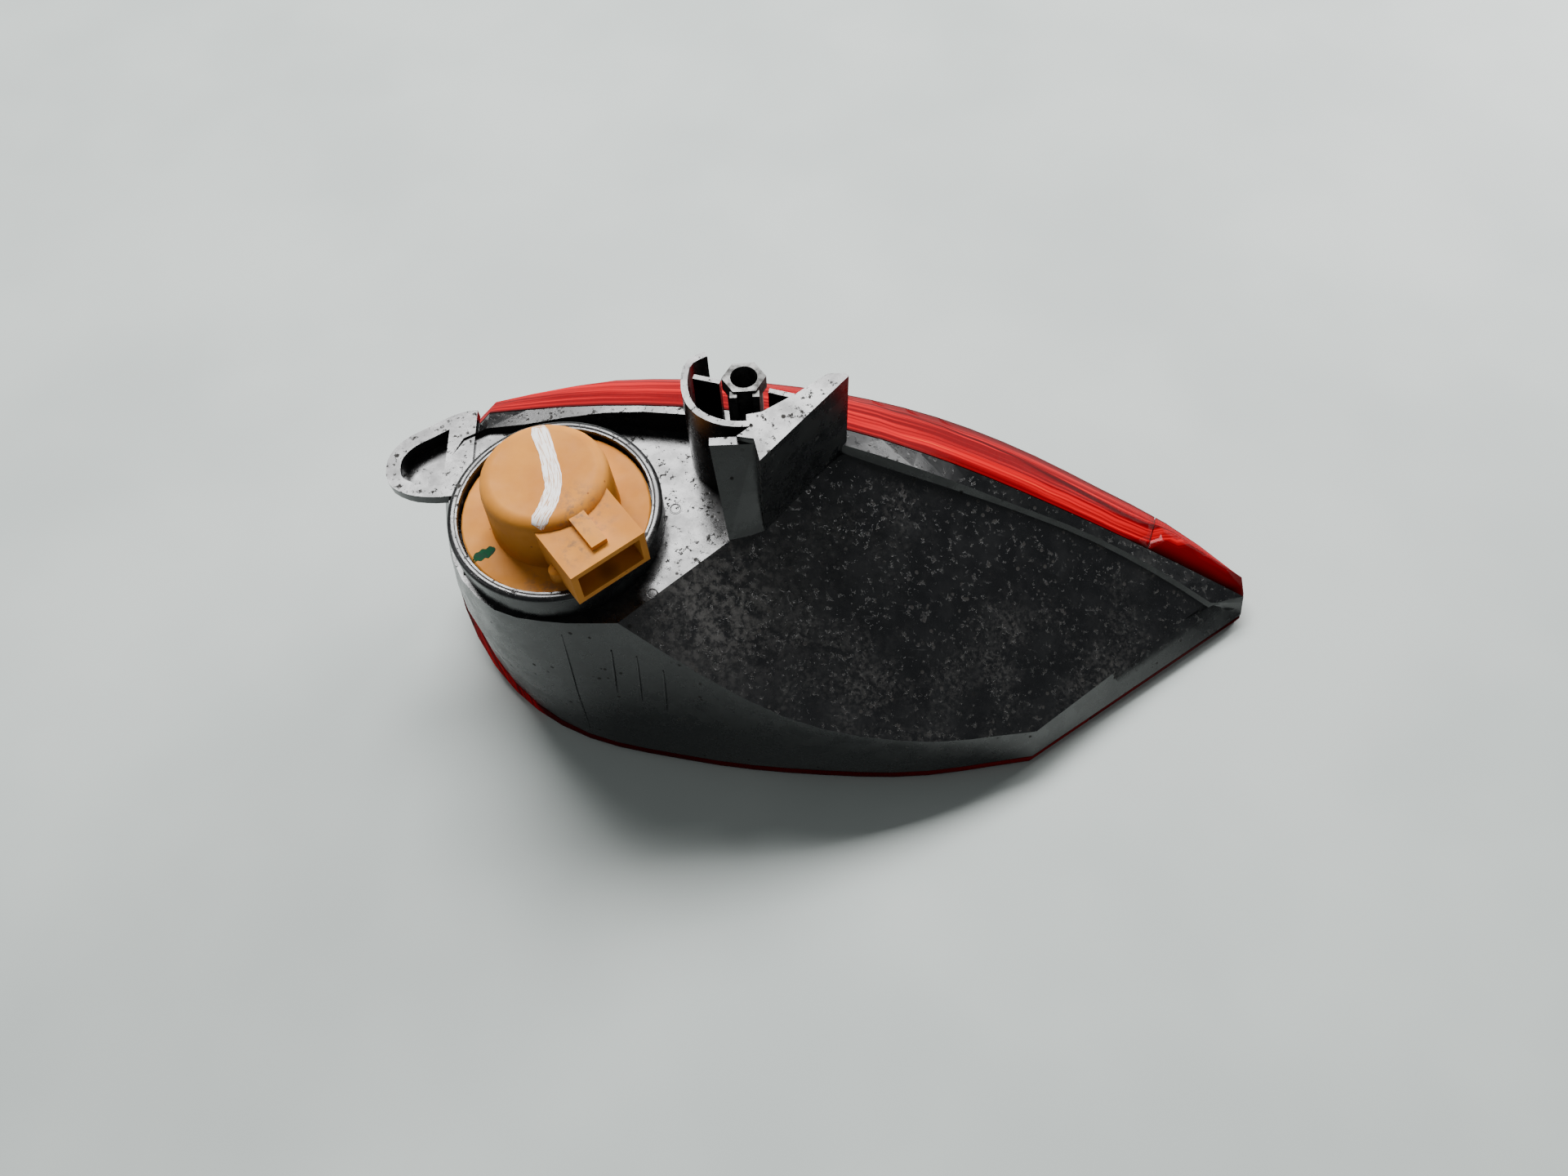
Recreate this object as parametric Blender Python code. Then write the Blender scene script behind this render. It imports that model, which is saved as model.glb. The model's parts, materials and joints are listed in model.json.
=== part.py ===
"""Rear bumper lamp: moulded housing with bracket, two-part red lens, twist-lock bulb holder and bulb.

Frame: Z is the bulb axis and points out of the back of the lamp, X runs along the lamp towards its
tapered end, and Y points to the edge that the lens wraps. The lamp lies on its lens, at z = 0.
Lengths in the constants are millimetres and are turned into metres where a mesh is made.
"""
import math

import bmesh
import bpy
import numpy as np
from mathutils import Matrix, Vector

MM = 0.001
FIT_GAP = 0.3                    # gap kept between touching pieces
LAMP_CENTRE = (69.138, 3.71)     # middle of the whole lamp's box, seen from the bulb axis

# ---- levels above the surface that the lens rests on
BACK_LEVEL = 60.0                # flat back face around the bulb holder
COLLAR_TOP = 68.0
FLANGE_TOP = 66.0
CAP_TOP = 82.5
BRACKET_TOP = 88.0

# ---- housing shell
WALL = 2.5
# The long flat face slopes from the crease on the back face down to the tapered end and the near edge.
SLOPE_ORIGIN = (18.6, -24.7)
SLOPE_X = -0.387
SLOPE_Y = 0.49
CREASE_NEAR_X = 14.5
CREASE_FAR_X = 71.0
LEFT_X = -20.0                   # the far and near edges are functions of x to the right of this
TIP_X = 182.0
CORNER_X = 117.2                 # lower corner where the belly ends
RIM_STEP = 1.6                   # how far the rim ledge stands above the sloping face

# (x, y) of the far edge of the back and sloping faces, at the foot of the rim
FAR_FOOT = [(-20, 28.8), (14, 28.4), (33, 25.5), (71, 16.6), (95, 13.3), (117, 10.0), (137, 6.0),
            (164, -3.0), (182, -11.0)]
# (x, y, z) of the far edge of the rim, where the lens starts
FAR_RIM = [(-20, 35.0, 60.5), (0, 33.0, 64.0), (20, 30.2, 66.5), (45, 27.0, 66.0), (73, 22.0, 62.0),
           (95, 18.7, 53.0), (128, 11.8, 37.0), (164.5, 3.0, 17.6), (182, -2.5, 9.0)]
# (x, y) of the near edge of the sloping face: the long S-shaped edge of the belly, then a straight one
NEAR_TOP = [(14.5, -27.9), (31, -36.0), (52, -44.0), (84.6, -46.6), (117.2, -41.5)]
NEAR_TOP_TIP = (169.6, -5.5)
# (x, y, z) of the near edge of the joint with the lens
NEAR_JOINT = [(14.5, -36.6, 4.0), (37.5, -42.0, 4.0), (59, -45.2, 4.0), (84, -47.2, 4.0), (117.2, -44.5, 4.0)]
NEAR_JOINT_TIP = (178.0, -8.0, 4.0)
# the rounded left end, from the near side round to the far side
LEFT_TOP = [(14.5, -27.9, 60), (0, -26.9, 60), (-14, -23.0, 60), (-23.5, -13.0, 60), (-27.5, 2.0, 60),
            (-28, 16, 60), (-26.5, 25, 60), (-20, 28.8, 60)]
LEFT_JOINT = [(14.5, -36.6, 4.0), (1, -32.4, 4.0), (-14, -23.6, 5.0), (-26, -11.0, 9.0), (-33.0, 3.0, 17.0),
              (-35.5, 17, 31.0), (-31.5, 30, 49.0), (-20, 35.0, 60.5)]

# ---- snap-in nut
NUT_CENTRE = (46.8, 18.6)
NUT_BOTTOM = 70.0
NUT_BARREL_R = 4.2
NUT_BORE_R = 3.2

# ---- lens
LENS_WALL = 2.4
LENS_FLOOR_INSET = 11.0
# (x, y, z) of the far shoulder of the lens
FAR_SHOULDER = [(-20, 48.0, 46.0), (0, 54.0, 47.0), (30, 54.6, 46.5), (75, 49.5, 42.0), (99, 45.0, 36.0),
                (123, 38.0, 28.0), (143, 30.0, 20.5), (169, 16.5, 12.0), (183, 5.5, 7.0)]
LEFT_SHOULDER = [(14.5, -36.9, 2.6), (1, -32.8, 2.7), (-14.5, -24.2, 3.2), (-27.5, -11.2, 5.5),
                 (-35.5, 3.5, 12.0), (-38.5, 19, 22.0), (-34.5, 36, 36.0), (-20, 48.0, 46.0)]
SPLIT_X = 150.5                  # parting line between the lamp lens and the reflex section, at the rim
SPLIT_LEAN = 25.0                # degrees that the parting line leans

# ---- bulb holder
HOLDER_TURN = -55.0              # degrees: direction in which the connector points
HOLDER_UNLOCK = 40.0             # degrees that the holder turns to line its lugs up with the notches
COLLAR_BORE_R = 23.3
COLLAR_R = 25.6
HOLDER_FLANGE_R = 22.8
HOLDER_NECK_R = 15.7
HOLE_R = 16.1
LUG_R = 18.6
LUG_HALF_ANGLE = 9.0
LUG_ANGLES = (20.0, 140.0, 260.0)  # middles of the notches in the housing
LUG_BOTTOM = 53.0
LUG_TOP = 56.0
CAP_R = 15.0
BORE_R = 9.4
SHROUD_FRONT = 26.5
SHROUD_HALF_WIDTH = 9.7
SHROUD_BOTTOM = 68.6
SHROUD_TOP = 80.0
SHROUD_WALL = 1.6
SHROUD_CAVITY_BACK = 13.5
BLADE_Y = 4.0
BLADE_END = 19.8
BLADE_Z = 74.2

# ---- bulb
BULB_PIN_Z = 64.5
BULB_PIN_R = 0.95
BULB_TRAVEL = 1.8
BULB_TWIST = 28.0


# ------------------------------------------------------------------ curves

def eased(knots, x):
    """Smooth value through knots (x, a, b, ...), as a numpy row (a, b, ...)."""
    table = np.array(knots, dtype=float)
    xs, values = table[:, 0], table[:, 1:]
    slopes = np.gradient(values, xs, axis=0)
    i = int(np.clip(np.searchsorted(xs, x) - 1, 0, len(xs) - 2))
    width = xs[i + 1] - xs[i]
    t = float(np.clip((x - xs[i]) / width, 0.0, 1.0))
    start = (1 + 2 * t) * (1 - t) ** 2 * values[i] + t * (1 - t) ** 2 * width * slopes[i]
    end = t * t * (3 - 2 * t) * values[i + 1] - t * t * (1 - t) * width * slopes[i + 1]
    return start + end


def rounded(points, count):
    """Points evenly spread in parameter along a smooth curve through the given points."""
    table = np.array(points, dtype=float)
    lengths = np.linalg.norm(np.diff(table, axis=0), axis=1)
    along = np.concatenate([[0.0], np.cumsum(lengths)])
    knots = np.column_stack([along, table])
    return [eased(knots, s) for s in np.linspace(0.0, along[-1], count)]


def sloping_level(x, y):
    return BACK_LEVEL + SLOPE_X * (x - SLOPE_ORIGIN[0]) + SLOPE_Y * (y - SLOPE_ORIGIN[1])


def top_level(x, y):
    return min(BACK_LEVEL, sloping_level(x, y))


# ------------------------------------------------------------------ loops round the body

FAR_LEFT_COUNT = 9
FAR_RIGHT_COUNT = 12
TIP_COUNT = 3
NEAR_RIGHT_COUNT = 7
BELLY_COUNT = 11
LEFT_COUNT = 15
CREASE_FAR_INDEX = FAR_LEFT_COUNT
CREASE_NEAR_INDEX = FAR_LEFT_COUNT + FAR_RIGHT_COUNT + TIP_COUNT + NEAR_RIGHT_COUNT + BELLY_COUNT


def body_loop(far, near, left, right_x):
    """A closed loop of points round the body, from the far left, by the tip and the near side.

    far and near give a point for an x, left is a list of points round the left end, near side first,
    and right_x is where the far and near stretches meet the short stretch across the tip.
    """
    loop = [far(x) for x in np.linspace(LEFT_X, CREASE_FAR_X, FAR_LEFT_COUNT + 1)[:-1]]
    loop += [far(x) for x in np.linspace(CREASE_FAR_X, right_x, FAR_RIGHT_COUNT + 1)[:-1]]
    far_end, near_end = far(right_x), near(right_x)
    for i in range(TIP_COUNT):
        loop.append(far_end + (near_end - far_end) * i / TIP_COUNT)
    loop += [near(x) for x in np.linspace(right_x, CORNER_X, NEAR_RIGHT_COUNT + 1)[:-1]]
    loop += [near(x) for x in np.linspace(CORNER_X, CREASE_NEAR_X, BELLY_COUNT + 1)[:-1]]
    loop += rounded(left, LEFT_COUNT + 1)[:-1]
    return np.array(loop)


def far_share():
    """For each point of a loop, 1 on the far side, 0 on the near side and in between at the ends."""
    share = [1.0] * (FAR_LEFT_COUNT + FAR_RIGHT_COUNT)
    share += [1.0 - i / TIP_COUNT for i in range(TIP_COUNT)]
    share += [0.0] * (NEAR_RIGHT_COUNT + BELLY_COUNT)
    share += [float(np.clip((i / LEFT_COUNT - 0.5) / 0.4, 0.0, 1.0)) for i in range(LEFT_COUNT)]
    return np.array(share)[:, None]


def belly_bulge():
    """For each point of a loop, how far the near wall swells at its middle height."""
    bulge = [0.0] * (FAR_LEFT_COUNT + FAR_RIGHT_COUNT + TIP_COUNT + NEAR_RIGHT_COUNT)
    rounded_count = BELLY_COUNT + LEFT_COUNT
    bulge += [1.6 * math.sin(math.pi * i / rounded_count) for i in range(rounded_count)]
    return np.array(bulge)[:, None]


def inward(loop):
    """Horizontal unit directions towards the inside of the body, one for each point of a loop."""
    ahead = np.roll(loop, -1, axis=0) - np.roll(loop, 1, axis=0)
    turned = np.column_stack([ahead[:, 1], -ahead[:, 0], np.zeros(len(loop))])
    return turned / np.linalg.norm(turned, axis=1)[:, None]


def straight_to_tip(knots, tip):
    """An edge as a function of x: eased through the knots, then straight to the tip."""
    def edge(x):
        if x <= knots[-1][0]:
            return eased(knots, x)
        share = (x - knots[-1][0]) / (tip[0] - knots[-1][0])
        return np.array(knots[-1][1:]) * (1 - share) + np.array(tip[1:]) * share
    return edge


def point(x, yz):
    return np.array([x, yz[0], yz[1]], dtype=float)


def top_loop(right_x):
    near_edge = straight_to_tip(NEAR_TOP, NEAR_TOP_TIP)

    def far(x):
        y = float(eased(FAR_FOOT, x)[0])
        return point(x, (y, top_level(x, y)))

    def near(x):
        y = float(near_edge(x)[0])
        return point(x, (y, top_level(x, y)))

    return body_loop(far, near, LEFT_TOP, right_x)


def joint_loop(right_x):
    near_edge = straight_to_tip(NEAR_JOINT, NEAR_JOINT_TIP)
    return body_loop(lambda x: point(x, eased(FAR_RIM, x)), lambda x: point(x, near_edge(x)), LEFT_JOINT, right_x)


def shoulder_loop(right_x):
    near_edge = straight_to_tip(NEAR_JOINT, NEAR_JOINT_TIP)
    below = np.array([0.0, -0.3, -1.4])
    return body_loop(lambda x: point(x, eased(FAR_SHOULDER, x)), lambda x: point(x, near_edge(x)) + below,
                     LEFT_SHOULDER, right_x)


# ------------------------------------------------------------------ meshes

def material(name, colour, roughness, metallic=0.0, transmission=0.0):
    finish = bpy.data.materials.new(name)
    finish.use_nodes = True
    shader = finish.node_tree.nodes["Principled BSDF"]
    shader.inputs["Base Color"].default_value = (*colour, 1.0)
    shader.inputs["Roughness"].default_value = roughness
    shader.inputs["Metallic"].default_value = metallic
    shader.inputs["Transmission Weight"].default_value = transmission
    return finish


def new_object(name, mesh_data, finish=None, smooth_angle=None):
    """Turn a bmesh in millimetres into an object in metres."""
    bmesh.ops.recalc_face_normals(mesh_data, faces=mesh_data.faces)
    bmesh.ops.scale(mesh_data, vec=(MM, MM, MM), verts=mesh_data.verts)
    mesh = bpy.data.meshes.new(name)
    mesh_data.to_mesh(mesh)
    mesh_data.free()
    item = bpy.data.objects.new(name, mesh)
    bpy.context.collection.objects.link(item)
    if finish is not None:
        mesh.materials.append(finish)
    if smooth_angle is not None:
        mesh.shade_smooth()
        mesh.set_sharp_from_angle(angle=math.radians(smooth_angle))
    return item


def skin(mesh_data, loops):
    """Quads between neighbouring closed loops with equal counts; returns the rows of vertices."""
    rows = [[mesh_data.verts.new(p) for p in loop] for loop in loops]
    for lower, upper in zip(rows, rows[1:]):
        for i in range(len(lower)):
            j = (i + 1) % len(lower)
            mesh_data.faces.new((lower[i], lower[j], upper[j], upper[i]))
    return rows


def turned(profile, segments=32, closed=True):
    """A body of revolution about Z from (radius, z) points; a point on the axis closes an end."""
    mesh_data = bmesh.new()
    rings = []
    for radius, z in profile:
        if radius == 0.0:
            rings.append([mesh_data.verts.new((0.0, 0.0, z))])
            continue
        angles = [2 * math.pi * i / segments for i in range(segments)]
        rings.append([mesh_data.verts.new((radius * math.cos(a), radius * math.sin(a), z)) for a in angles])
    pairs = list(zip(rings, rings[1:]))
    if closed:
        pairs.append((rings[-1], rings[0]))
    for first, second in pairs:
        if len(first) == 1 and len(second) == 1:
            continue
        for i in range(segments):
            j = (i + 1) % segments
            corners = [first[i % len(first)], first[j % len(first)], second[j % len(second)], second[i % len(second)]]
            mesh_data.faces.new(list(dict.fromkeys(corners)))
    return mesh_data


def prism(outline, bottom, top):
    """A straight prism on an (x, y) outline."""
    mesh_data = bmesh.new()
    rows = skin(mesh_data, [[(x, y, z) for x, y in outline] for z in (bottom, top)])
    mesh_data.faces.new(rows[0])
    mesh_data.faces.new(rows[1])
    return mesh_data


def block(low, high):
    outline = [(low[0], low[1]), (high[0], low[1]), (high[0], high[1]), (low[0], high[1])]
    return prism(outline, low[2], high[2])


def ribbon(path, width):
    """Outline of a strip of the given width to the left of an (x, y) path."""
    ahead = np.gradient(np.array(path, dtype=float), axis=0)
    sideways = np.column_stack([-ahead[:, 1], ahead[:, 0]]) / np.linalg.norm(ahead, axis=1)[:, None]
    shifted = np.array(path) + sideways * width
    return [tuple(p) for p in path] + [tuple(p) for p in shifted[::-1]]


def cut_with(item, mesh_data, operation="DIFFERENCE"):
    """Apply an exact Boolean with a temporary body given as a bmesh in millimetres."""
    tool = new_object("tool", mesh_data)
    change = item.modifiers.new("change", "BOOLEAN")
    change.operation = operation
    change.solver = "EXACT"
    change.object = tool
    view = bpy.context.evaluated_depsgraph_get()
    result = bpy.data.meshes.new_from_object(item.evaluated_get(view))
    item.modifiers.clear()
    item.data = result
    bpy.data.objects.remove(tool)


def spun(mesh_data, degrees):
    bmesh.ops.rotate(mesh_data, matrix=Matrix.Rotation(math.radians(degrees), 3, "Z"), verts=mesh_data.verts)
    return mesh_data


def moved(mesh_data, x, y, z=0.0):
    bmesh.ops.translate(mesh_data, vec=Vector((x, y, z)), verts=mesh_data.verts)
    return mesh_data


# ------------------------------------------------------------------ housing

def skirt_depth(loop):
    """How far the housing reaches down inside the far edge of the lens: less where the tip is solid."""
    depth = np.maximum(loop[:, 2] - BACK_LEVEL + WALL + 1.6, 4.0)
    taper = np.clip((TIP_X - 12.0 - loop[:, 0]) / 12.0, 0.0, 1.0)
    return (0.2 + (depth - 0.2) * taper)[:, None]


def housing_shell():
    """The moulded shell: outer faces, the joint edge, and the hollow inside."""
    top, joint = top_loop(TIP_X - 11.0), joint_loop(TIP_X)
    share = far_share()
    rise = np.array([0.0, 0.0, 1.0])
    ledge = top * 1.0
    ledge[:, 2] = np.maximum(joint[:, 2], top[:, 2] + RIM_STEP)
    ledge += inward(joint) * -0.7
    middle = (top + joint) / 2 - inward(joint) * belly_bulge()
    second = share * ledge + (1 - share) * middle
    edge_depth = skirt_depth(joint)
    edge_width = 0.2 + (WALL - 0.4) * np.clip((TIP_X - 6.0 - joint[:, :1]) / 16.0, 0.0, 1.0)
    edge = joint - share * edge_depth * rise + (1 - share) * inward(joint) * edge_width

    hollow_joint = joint_loop(TIP_X - 16.0)
    hollow_depth = skirt_depth(hollow_joint)
    inner_edge = hollow_joint - share * hollow_depth * rise + inward(hollow_joint) * WALL
    hollow_top = top_loop(TIP_X - 27.0)
    hollow_top = hollow_top + inward(hollow_top) * WALL * (1 - 0.85 * share)
    hollow_top[:, 2] = [top_level(x, y) - WALL - 0.3 for x, y, _ in hollow_top]

    mesh_data = bmesh.new()
    rows = skin(mesh_data, [top, second, joint, edge, inner_edge, hollow_top])
    for row in (rows[0], rows[-1]):
        mesh_data.faces.new(row[CREASE_FAR_INDEX:CREASE_NEAR_INDEX + 1])
        mesh_data.faces.new(row[CREASE_NEAR_INDEX:] + row[:CREASE_FAR_INDEX + 1])
    bmesh.ops.triangulate(mesh_data, faces=mesh_data.faces)
    return mesh_data


def bracket_walls():
    """Outline and height of each upright wall of the bracket, all rooted in the back plate."""
    curl = [(38.4, 26.7), (34.9, 24.7), (33.7, 19.7), (34.1, 15.6), (35.9, 11.7), (38.5, 9.4), (41.6, 7.9),
            (44.4, 7.3), (47.8, 7.2)]
    bar = [(47.0, 7.4), (48.3, 6.0), (44.6, 3.0), (48.5, 2.1), (49.6, -4.0), (71.0, 18.6), (70.3, 19.5),
           (66.2, 19.6), (58.5, 14.2), (50.5, 9.5), (47.0, 9.0)]
    left_web = [(34.8, 20.9), (41.0, 18.9), (41.4, 20.1), (35.2, 22.1)]
    right_web = [(52.2, 15.6), (58.6, 13.4), (59.0, 14.6), (52.6, 16.8)]
    root = BACK_LEVEL - 1.2
    yield prism(ribbon(rounded(curl, 17)[::-1], 1.6), root, BRACKET_TOP)
    yield prism(bar, root, BRACKET_TOP)
    yield prism(left_web, root, BRACKET_TOP - 0.8)
    yield prism(right_web, root, BRACKET_TOP - 0.8)
    yield front_web(root)


def front_web(root):
    """The wall in front of the bracket, which thickens towards its foot."""
    corners_low = [(41.0, -7.2), (50.2, -3.6), (50.5, 4.5), (41.0, 4.5)]
    corners_high = [(38.3, 2.3), (48.6, 2.1), (48.6, 4.4), (38.3, 4.4)]
    mesh_data = bmesh.new()
    rows = skin(mesh_data, [[(x, y, root) for x, y in corners_low],
                            [(x, y, BRACKET_TOP - 2.0) for x, y in corners_high]])
    mesh_data.faces.new(rows[0])
    mesh_data.faces.new(rows[1])
    return mesh_data


TRAY_OUTLINE = [(-23, 36.0), (-26, 35.7), (-35, 31.3), (-41.5, 27.0), (-44.3, 22.5), (-44.6, 18.3), (-43.4, 14.3),
                (-38, 10.6), (-33, 9.6), (-23, 10.0)]
TRAY_TOP = 61.0
TRAY_UNDERSIDE = 58.2
TRAY_FLOOR_BOTTOM = 54.8
TRAY_RECESS_BOTTOM = 56.6
TRAY_FLOOR_INSET = 2.4
TRAY_RIM_WIDTH = 3.6
TRAY_RECESS_END_X = -28.3


def tray_outline(inset):
    """Smooth outline of the tray, moved inwards by the given width."""
    loop = np.array(rounded(TRAY_OUTLINE, 26))
    ahead = np.gradient(loop, axis=0)
    inwards = np.column_stack([-ahead[:, 1], ahead[:, 0]]) / np.linalg.norm(ahead, axis=1)[:, None]
    return loop + inwards * inset


def add_tray(item):
    """The open tray at the blunt end: a flat rim, with a floor under its recess."""
    cut_with(item, prism(tray_outline(0.0), TRAY_UNDERSIDE, TRAY_TOP), "UNION")
    cut_with(item, prism(tray_outline(TRAY_FLOOR_INSET), TRAY_FLOOR_BOTTOM, TRAY_UNDERSIDE + 0.4), "UNION")


def tray_recess():
    outline = tray_outline(TRAY_RIM_WIDTH)
    return prism(outline[outline[:, 0] < TRAY_RECESS_END_X], TRAY_RECESS_BOTTOM, TRAY_TOP + 9.0)


def bulb_opening():
    """Round hole in the back face with a notch for each locking lug of the holder."""
    outline = []
    for start in LUG_ANGLES:
        reach = LUG_HALF_ANGLE + 1.5
        notch = np.linspace(start - reach, start + reach, 4)
        arc = np.linspace(start + reach + 2.0, start + 118.0 - reach, 8)
        outline += [((LUG_R + 0.5), a) for a in notch]
        outline += [(HOLE_R, a) for a in arc]
    flat = [(r * math.cos(math.radians(a)), r * math.sin(math.radians(a))) for r, a in outline]
    return prism(flat, BACK_LEVEL - 8.0, BACK_LEVEL + 0.5)


def make_housing(finish):
    item = new_object("rear_housing", housing_shell())
    add_tray(item)
    collar = turned([(0.0, COLLAR_TOP), (COLLAR_R - 0.8, COLLAR_TOP), (COLLAR_R, COLLAR_TOP - 0.8),
                     (COLLAR_R, BACK_LEVEL - 1.1), (0.0, BACK_LEVEL - 1.1)], 48, closed=False)
    cut_with(item, collar, "UNION")
    for wall in bracket_walls():
        cut_with(item, wall, "UNION")
    cut_with(item, tray_recess())
    bore = turned([(0.0, BACK_LEVEL + 0.1), (COLLAR_BORE_R, BACK_LEVEL + 0.1), (COLLAR_BORE_R, COLLAR_TOP + 1.0),
                   (0.0, COLLAR_TOP + 1.0)], 48, closed=False)
    cut_with(item, bore)
    cut_with(item, bulb_opening())
    finish_object(item, finish, 30)
    return item


def finish_object(item, finish, smooth_angle):
    item.data.materials.clear()
    item.data.materials.append(finish)
    item.data.shade_smooth()
    item.data.set_sharp_from_angle(angle=math.radians(smooth_angle))


def make_snap_nut(finish):
    """Hexagonal snap-in nut held in the slot of the bracket, with its barrel and two clip legs."""
    hexagon = [(5.2 * math.cos(math.radians(a)), 4.8 * math.sin(math.radians(a))) for a in range(0, 360, 60)]
    item = new_object("snap_in_nut", prism(hexagon, BRACKET_TOP - 2.5, BRACKET_TOP + 1.5))
    barrel = turned([(0.0, NUT_BOTTOM), (NUT_BARREL_R, NUT_BOTTOM), (NUT_BARREL_R, BRACKET_TOP - 2.0),
                     (0.0, BRACKET_TOP - 2.0)], 20, closed=False)
    cut_with(item, barrel, "UNION")
    for side in (-1, 1):
        leg = block((side * 2.6 - 0.8, -5.4, 79.0), (side * 2.6 + 0.8, -3.6, BRACKET_TOP + 0.9))
        cut_with(item, leg, "UNION")
    bore = turned([(0.0, NUT_BOTTOM - 1.0), (NUT_BORE_R, NUT_BOTTOM - 1.0), (NUT_BORE_R, BRACKET_TOP + 4.0),
                   (0.0, BRACKET_TOP + 4.0)], 20, closed=False)
    cut_with(item, bore)
    item.location = Vector((*NUT_CENTRE, 0.0)) * MM
    finish_object(item, finish, 30)


# ------------------------------------------------------------------ lens

def lens_shell():
    """The whole red moulding: an open bowl from the joint edge over the shoulder to the flat face."""
    share = far_share()
    rise = np.array([0.0, 0.0, 1.0])
    joint, shoulder = joint_loop(TIP_X), shoulder_loop(TIP_X)
    clear = share * -inward(joint) - (1 - share) * rise
    start = joint + clear * (FIT_GAP + 0.15) - share * rise * 0.2
    start[:, 2] -= np.clip((joint[:, 0] - 166.0) / 12.0, 0.0, 1.0) * 0.9
    mid = start * 0.5 + shoulder * 0.5 + share * (rise * 2.2 - inward(joint) * 1.2)
    low = shoulder + inward(shoulder) * 2.0 * (0.2 + share * 0.8)
    low[:, 2] = np.minimum(low[:, 2] * 0.42, 9.0) * (0.25 + 0.75 * share[:, 0])
    floor = shoulder + inward(shoulder) * (3.0 + LENS_FLOOR_INSET * share)
    floor[:, 2] = 0.0
    outer = [start, mid, shoulder, low, floor]

    inner_joint, inner_shoulder = joint_loop(TIP_X - 12.0), shoulder_loop(TIP_X - 12.0)
    clear_in = share * -inward(inner_joint) - (1 - share) * rise
    inner_start = inner_joint + clear_in * (FIT_GAP + 0.6) - share * rise * (0.2 + LENS_WALL)
    inner_start += (1 - share) * (1 - 0.8 * share) * inward(inner_joint) * LENS_WALL
    pulled = inner_shoulder + inward(inner_shoulder) * LENS_WALL - share * rise * 0.6
    outer_start = inner_joint + clear_in * (FIT_GAP + 0.15) - share * rise * 0.2
    inner_mid = outer_start * 0.5 + inner_shoulder * 0.5 + share * (rise * 2.2 - inward(inner_joint) * 1.2)
    inner_mid += share * -rise * LENS_WALL + (1 - share) * inward(inner_joint) * LENS_WALL
    inner_low = inner_shoulder + inward(inner_shoulder) * (LENS_WALL + 1.6 * (0.2 + share * 0.8))
    inner_low[:, 2] = np.maximum(np.minimum(inner_shoulder[:, 2] * 0.42, 9.0), LENS_WALL + 0.2)
    inner_low[:, 2] = np.minimum(inner_low[:, 2], inner_mid[:, 2] - 0.05)
    inner_floor = inner_shoulder + inward(inner_shoulder) * (5.0 + LENS_FLOOR_INSET * share)
    inner_floor[:, 2] = LENS_WALL
    inner = [inner_floor, inner_low, pulled, inner_mid, inner_start]

    mesh_data = bmesh.new()
    rows = skin(mesh_data, inner + outer)
    mesh_data.faces.new(rows[0])
    mesh_data.faces.new(rows[-1])
    bmesh.ops.triangulate(mesh_data, faces=mesh_data.faces)
    return mesh_data


def split_block(side):
    """A large block on one side (-1 lamp, 1 reflex) of the leaning parting line."""
    lean = math.tan(math.radians(SPLIT_LEAN))
    edge = SPLIT_X + side * FIT_GAP / 2
    far_side = -200.0 if side < 0 else 400.0
    outline = [(edge - 80 * lean, -80.0), (edge + 80 * lean, 80.0), (far_side, 80.0), (far_side, -80.0)]
    return prism(outline, -10.0, 120.0)


def make_lens(lamp_red, reflex_red):
    for name, side, finish in (("lens_main", -1, lamp_red), ("lens_reflex", 1, reflex_red)):
        item = new_object(name, lens_shell())
        cut_with(item, split_block(side), "INTERSECT")
        finish_object(item, finish, 35)


# ------------------------------------------------------------------ inside the lamp

def make_reflector(finish):
    """Metallised bowl round the bulb, with a short neck that seats on the back plate."""
    levels = np.linspace(53.0, 22.0, 9)
    bowl = [(19.3 + 2.7 * math.sqrt((53.0 - z) / 31.0), z) for z in levels]
    inner = [(19.3, 56.9)] + bowl
    outer = [(r + 1.3, z) for r, z in reversed(inner)]
    new_object("reflector", turned(inner + outer, 40), finish, 40)


def make_reflex_backing(finish):
    """Flat plate that seals the prisms of the reflex section."""
    outline = [(153.5, -12.0), (161.0, -8.5), (163.5, -3.5), (162.0, 1.5), (155.5, 3.5)]
    new_object("reflex_backing", prism(outline, 5.2, 6.4), finish)


# ------------------------------------------------------------------ bulb holder

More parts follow.
